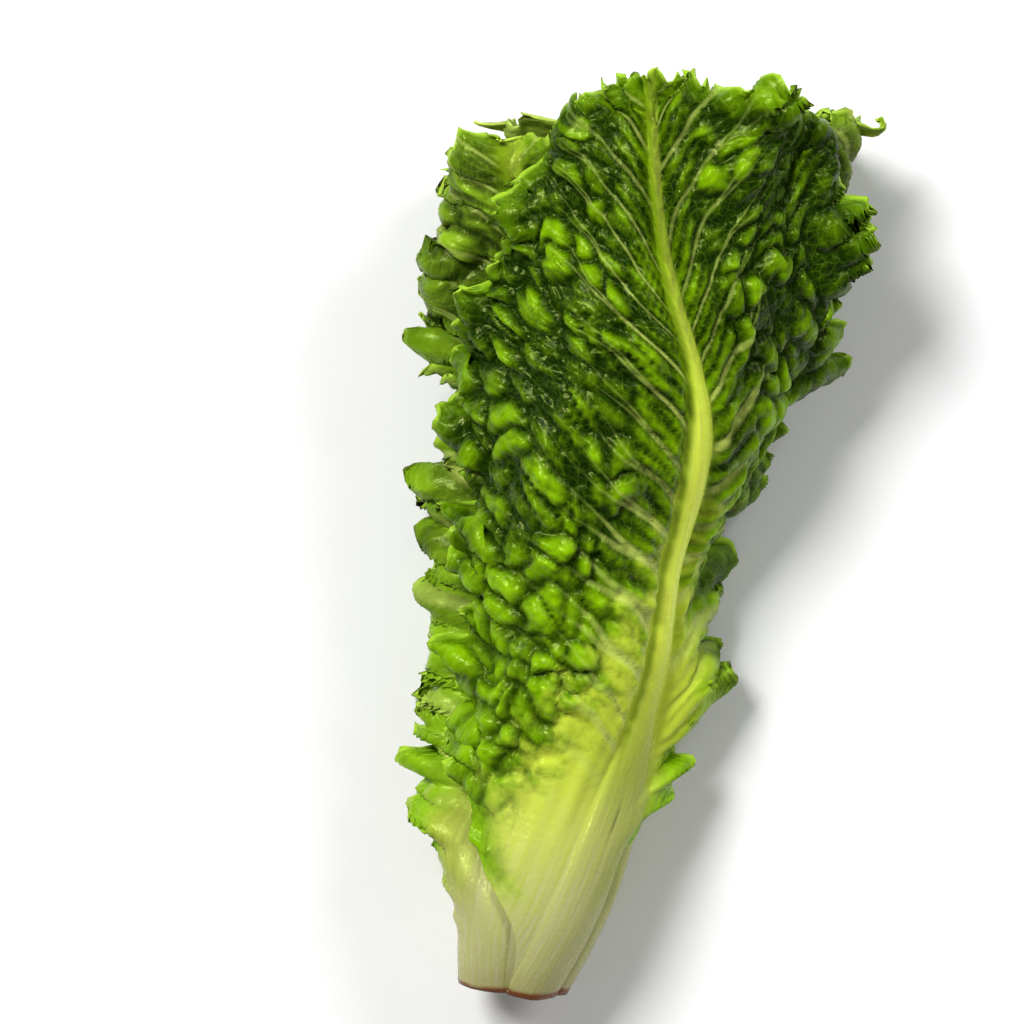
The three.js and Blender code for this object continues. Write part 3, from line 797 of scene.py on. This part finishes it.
class LettuceLook(bpy.types.PropertyGroup):
    """Sizes and colours of the leaves and the stem."""

    blister_height: bpy.props.FloatProperty(
        name="Blister height", description="How far the blade puffs up between its veins", default=0.0052,
        unit="LENGTH")
    blister_size: bpy.props.FloatProperty(
        name="Blister size", description="Width of one blister", default=0.0088, unit="LENGTH")
    vein_pitch: bpy.props.FloatProperty(
        name="Vein pitch", description="Distance between side veins along the rib", default=0.0135,
        unit="LENGTH")
    vein_height: bpy.props.FloatProperty(
        name="Vein height", description="How far the side veins stand out", default=0.0014, unit="LENGTH")
    curl_angle: bpy.props.FloatProperty(
        name="Edge curl", description="How far the outermost 9 mm of a free edge roll over", default=1.05,
        unit="ROTATION")
    ruffle: bpy.props.FloatProperty(
        name="Ruffle", description="Wave of the outermost 14 mm of a free edge", default=0.0036,
        unit="LENGTH")
    tiny_frill: bpy.props.FloatProperty(
        name="Tiny frill", description="Wave of the outermost 7 mm of a free edge", default=0.0018,
        unit="LENGTH")
    tooth_depth: bpy.props.FloatProperty(
        name="Tooth depth", description="Depth of the small teeth along the edge", default=0.0031,
        unit="LENGTH")
    # Painted shade: the blade's deep green laid in its hollows, also its random deeper tone
    dark_and_hollow_shade: bpy.props.FloatVectorProperty(
        name="Dark green", description="Blade in its hollows", subtype="COLOR",
        default=(0.004, 0.023, 0.0001))
    # Painted highlight: the blade's light green laid on its blisters, also its random lighter specks and
    # tone
    bright: bpy.props.FloatVectorProperty(
        name="Bright green", description="Blade on its blisters", subtype="COLOR",
        default=(0.25, 0.47, 0.0006))
    # Painted shade, laid in the creases between blisters
    shade: bpy.props.FloatVectorProperty(
        name="Crease", description="Creases between blisters", subtype="COLOR",
        default=(0.008, 0.032, 0.0004))
    # Partly painted glow: near the edge this is lit as if through from behind; lower down it is the blade's
    # own paler green
    frill: bpy.props.FloatVectorProperty(
        name="Frill", description="Blade near its edge", subtype="COLOR", default=(0.22, 0.43, 0.003))
    # Partly painted glow: the thin edge lit as if through from behind; also the colour of the net of small
    # veins
    rim: bpy.props.FloatVectorProperty(
        name="Rim", description="Thin edge of the blade", subtype="COLOR", default=(0.42, 0.66, 0.05))
    wing: bpy.props.FloatVectorProperty(
        name="Wing", description="Lower blade beside the rib", subtype="COLOR", default=(0.57, 0.67, 0.065))
    vein: bpy.props.FloatVectorProperty(
        name="Side vein", description="Side veins near the rib", subtype="COLOR",
        default=(0.52, 0.62, 0.14))
    # Partly painted light: the upper rib's own pale colour, made paler still where it lies in shade
    rib: bpy.props.FloatVectorProperty(
        name="Rib", description="Rib above the foot", subtype="COLOR", default=(0.8, 0.93, 0.1))
    # Painted shade: the rib near the foot, made deeper than its own pale colour
    rib_low_painted_shade: bpy.props.FloatVectorProperty(
        name="Lower rib", description="Rib near the foot", subtype="COLOR", default=(0.31, 0.37, 0.03))
    groove: bpy.props.FloatVectorProperty(
        name="Groove", description="Green line beside the rib", subtype="COLOR", default=(0.2, 0.32, 0.004))
    foot: bpy.props.FloatVectorProperty(
        name="Foot", description="Cream foot of a leaf", subtype="COLOR", default=(0.49, 0.47, 0.26))
    foot_dark: bpy.props.FloatVectorProperty(
        name="Foot streaks", description="Greener streaks on the foot", subtype="COLOR",
        default=(0.43, 0.45, 0.155))
    cut: bpy.props.FloatVectorProperty(
        name="Browned cut", description="Edge of the cut", subtype="COLOR", default=(0.2, 0.055, 0.02))
    cut_pale: bpy.props.FloatVectorProperty(
        name="Cut face", description="Middle of the cut face", subtype="COLOR", default=(0.52, 0.38, 0.2))


COLOURS = (
    "dark_and_hollow_shade", "bright", "shade", "frill", "rim", "wing", "vein", "rib", "rib_low_painted_shade", "groove", "foot",
    "foot_dark", "cut", "cut_pale",
)

# What the blade's colours turn to in the innermost leaf
HEART_COLOURS = {"dark_and_hollow_shade": (0.34, 0.42, 0.06), "bright": (0.6, 0.66, 0.16), "rim": (0.66, 0.72, 0.2)}


class LettuceStage(bpy.types.PropertyGroup):
    """The floor, the light and the camera."""

    floor: bpy.props.FloatVectorProperty(
        name="Floor", description="Colour of the floor", subtype="COLOR", default=(0.88, 0.88, 0.88))
    sky: bpy.props.FloatProperty(
        name="Fill light", description="Strength of the even light from all round", default=0.27)
    walls: bpy.props.FloatProperty(
        name="Wall light", description="Strength of the light from low down all round", default=0.6)
    key: bpy.props.FloatProperty(
        name="Key light", description="Power of the large soft lamp", default=92.0, unit="POWER")
    back: bpy.props.FloatProperty(
        name="Back light", description="Power of the lamp beyond the tips", default=20.0, unit="POWER")
    distance: bpy.props.FloatProperty(
        name="Camera distance", description="From the camera to the leaves", default=1.5, unit="LENGTH")


def palette(look):
    return {key: tuple(getattr(look, key)) for key in COLOURS}


def blended(first, second, share):
    return tuple(a + (b - a) * share for a, b in zip(first, second))


def shaped_grid(name, points, marks):
    """A grid with its points moved to their places, and the marks that its material reads."""
    rows, columns = points.shape[:2]
    deselect_all()
    bpy.ops.mesh.primitive_grid_add(x_subdivisions=columns - 1, y_subdivisions=rows - 1, size=2)
    piece = bpy.context.object
    piece.name = name
    piece.data.name = name
    if len(piece.data.vertices) != rows * columns:
        raise RuntimeError(f"{name}: the grid hasn't the expected number of points")
    piece.data.vertices.foreach_set("co", (points * MM).astype(np.float32).ravel())
    for key, values in marks.items():
        attribute = piece.data.attributes.new(key, "FLOAT", "POINT")
        attribute.data.foreach_set("value", values.astype(np.float32).ravel())
    piece.data.update()
    return piece


def make_leaf(index, look):
    """A grid shaped into the leaf's outer face and then given its thickness."""
    leaf = LEAVES[index]
    points, thickness, marks = leaf_surface(index, look)
    piece = shaped_grid(leaf["node"] + "_fine", points, marks)
    thickest = float(thickness.max())
    group = piece.vertex_groups.new(name="thickness")
    steps = np.round(thickness.ravel() / thickest * THICKNESS_STEPS).astype(int)
    for step in np.unique(steps):
        group.add(np.flatnonzero(steps == step).tolist(), float(step) / THICKNESS_STEPS, "REPLACE")
    solid = piece.modifiers.new("solid", "SOLIDIFY")
    solid.thickness = thickest * MM
    solid.offset = -1
    solid.vertex_group = "thickness"
    solid.thickness_vertex_group = 0
    solid.use_rim = True
    bpy.ops.object.modifier_apply(modifier=solid.name)
    piece.vertex_groups.clear()
    bpy.ops.object.shade_smooth()
    keep_above_ground(piece)
    piece.data.materials.append(leaf_material(index, look))
    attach(piece, "root")
    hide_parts(leaf["node"])


def keep_above_ground(piece):
    count = len(piece.data.vertices)
    flat = np.empty(count * 3, np.float32)
    piece.data.vertices.foreach_get("co", flat)
    flat[2::3] = np.maximum(0, flat[2::3])
    piece.data.vertices.foreach_set("co", flat)
    piece.data.update()


class LETTUCE_OT_outer_leaves(bpy.types.Operator):
    """Make the leaves that show, from the front leaf to the one underneath"""

    bl_idname = "lettuce.outer_leaves"
    bl_label = "Outer Leaves"

    def execute(self, context):
        for index, leaf in enumerate(LEAVES):
            if leaf["slot"] == OUTER:
                make_leaf(index, context.scene.lettuce_look)
        return {"FINISHED"}


class LETTUCE_OT_inner_leaves(bpy.types.Operator):
    """Make the leaves inside, of which the tips and edges show"""

    bl_idname = "lettuce.inner_leaves"
    bl_label = "Inner Leaves"

    def execute(self, context):
        for index, leaf in enumerate(LEAVES):
            if leaf["slot"] != OUTER:
                make_leaf(index, context.scene.lettuce_look)
        return {"FINISHED"}


class LETTUCE_OT_stem(bpy.types.Operator):
    """Make the stem with its cut face"""

    bl_idname = "lettuce.stem"
    bl_label = "Stem"

    def execute(self, context):
        points, radius = stem_surface()
        piece = shaped_grid("stem_fine", points, {"radius": radius})
        bpy.ops.object.mode_set(mode="EDIT")
        bpy.ops.mesh.select_all(action="SELECT")
        bpy.ops.mesh.remove_doubles(threshold=SEAM_GAP)
        bpy.ops.mesh.normals_make_consistent(inside=False)
        bpy.ops.object.mode_set(mode="OBJECT")
        bpy.ops.object.shade_smooth()
        piece.data.materials.append(stem_material(context.scene.lettuce_look))
        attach(piece, "root")
        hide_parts("stem")
        return {"FINISHED"}


def stem_profile():
    """The stem's outline with its steps filled in, as radius and height."""
    filled = []
    for (r0, h0), (r1, h1) in zip(STEM[:-1], STEM[1:]):
        steps = max(1, round(math.hypot(r1 - r0, h1 - h0) / STEM_STEP))
        filled += [(r0 + (r1 - r0) * i / steps, h0 + (h1 - h0) * i / steps) for i in range(steps)]
    return np.array(filled + [STEM[-1]])


def stem_surface():
    """The outline turned all the way round, slightly uneven, and bent along the head's axis."""
    profile = stem_profile()
    around = np.linspace(0, 2 * math.pi, STEM_SIDES + 1)
    x = profile[:, :1] * np.cos(around)
    z = profile[:, :1] * np.sin(around)
    height = profile[:, 1:] + 0 * x
    turn = np.arctan2(x, z)
    lobed = 1 + 0.018 * np.sin(5 * turn + 0.7) + 0.01 * np.sin(9 * turn)
    uneven = 0.35 * soft_noise(x / 4 + 50, z / 4 + 50, 5) * smoothstep(2.4 - height, 0, 2.4)
    points = np.stack([
        x * lobed + along(AXIS_X, height),
        np.maximum(0, height + uneven) + slanted(x + along(AXIS_X, height), height) - HEAD_LENGTH / 2,
        z * lobed + axis_height(height),
    ], -1)
    return points, np.hypot(x, z)


class LETTUCE_OT_stage(bpy.types.Operator):
    """Make the floor, the lamps and the camera"""

    bl_idname = "lettuce.stage"
    bl_label = "Stage"

    def execute(self, context):
        stage = context.scene.lettuce_stage
        deselect_all()
        bpy.ops.mesh.primitive_plane_add(size=FLOOR_SIZE)
        floor = context.object
        floor.name = "floor"
        paper = Nodes("floor_paper").finished({"Base Color": colour_of(stage.floor), "Roughness": 0.85})
        floor.data.materials.append(paper)

        world = bpy.data.worlds.new("soft_room")
        context.scene.world = world
        world.use_nodes = True
        nodes, links = world.node_tree.nodes, world.node_tree.links
        split = nodes.new("ShaderNodeSeparateXYZ")
        links.new(nodes.new("ShaderNodeTexCoord").outputs["Generated"], split.inputs["Vector"])
        fade = nodes.new("ShaderNodeMapRange")
        fade.inputs["From Max"].default_value = WALL_TOP
        fade.inputs["To Min"].default_value = stage.walls
        fade.inputs["To Max"].default_value = stage.sky
        links.new(split.outputs["Z"], fade.inputs["Value"])
        links.new(fade.outputs["Result"], nodes["Background"].inputs["Strength"])
        nodes["Background"].inputs["Color"].default_value = (1, 1, 1, 1)

        context.scene.view_settings.view_transform = "Standard"
        context.scene.view_settings.gamma = GAMMA
        add_lamp("key_lamp", KEY_PLACE, KEY_SIZE, stage.key)
        add_lamp("back_lamp", BACK_PLACE, BACK_SIZE, stage.back)

        camera = bpy.data.objects.new("camera", bpy.data.cameras.new("camera"))
        context.scene.collection.objects.link(camera)
        camera.location = (VIEW_CENTRE[0] * MM, VIEW_CENTRE[1] * MM, VIEW_PLANE * MM + stage.distance)
        camera.data.sensor_width = SENSOR
        camera.data.lens = SENSOR * stage.distance / (VIEW_WIDTH * MM)
        context.scene.camera = camera
        return {"FINISHED"}


def add_lamp(name, place, size, power):
    """A square area lamp that points at the middle of the head."""
    data = bpy.data.lights.new(name, "AREA")
    data.size = size
    data.energy = power
    lamp = bpy.data.objects.new(name, data)
    bpy.context.scene.collection.objects.link(lamp)
    lamp.location = place
    lamp.rotation_euler = (Vector(LIT_POINT) - lamp.location).to_track_quat("-Z", "Y").to_euler()


class LETTUCE_PT_panel(bpy.types.Panel):
    """Lists the steps and the settings"""

    bl_idname = "LETTUCE_PT_panel"
    bl_label = "Romaine Lettuce"
    bl_space_type = "VIEW_3D"
    bl_region_type = "UI"
    bl_category = "Lettuce"

    def draw(self, context):
        for step in STEPS:
            self.layout.operator(step.bl_idname)
        for group in (context.scene.lettuce_look, context.scene.lettuce_stage):
            for name in type(group).__annotations__:
                self.layout.prop(group, name)


STEPS = (LETTUCE_OT_outer_leaves, LETTUCE_OT_inner_leaves, LETTUCE_OT_stem, LETTUCE_OT_stage)
CLASSES = (LettuceLook, LettuceStage, *STEPS, LETTUCE_PT_panel)


def register():
    for cls in CLASSES:
        bpy.utils.register_class(cls)
    bpy.types.Scene.lettuce_look = bpy.props.PointerProperty(type=LettuceLook)
    bpy.types.Scene.lettuce_stage = bpy.props.PointerProperty(type=LettuceStage)


def unregister():
    del bpy.types.Scene.lettuce_stage
    del bpy.types.Scene.lettuce_look
    for cls in reversed(CLASSES):
        bpy.utils.unregister_class(cls)


def main():
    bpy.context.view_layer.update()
    register()
    bpy.ops.lettuce.outer_leaves()
    bpy.ops.lettuce.inner_leaves()
    bpy.ops.lettuce.stem()
    bpy.ops.lettuce.stage()


if __name__ == "__main__":
    main()
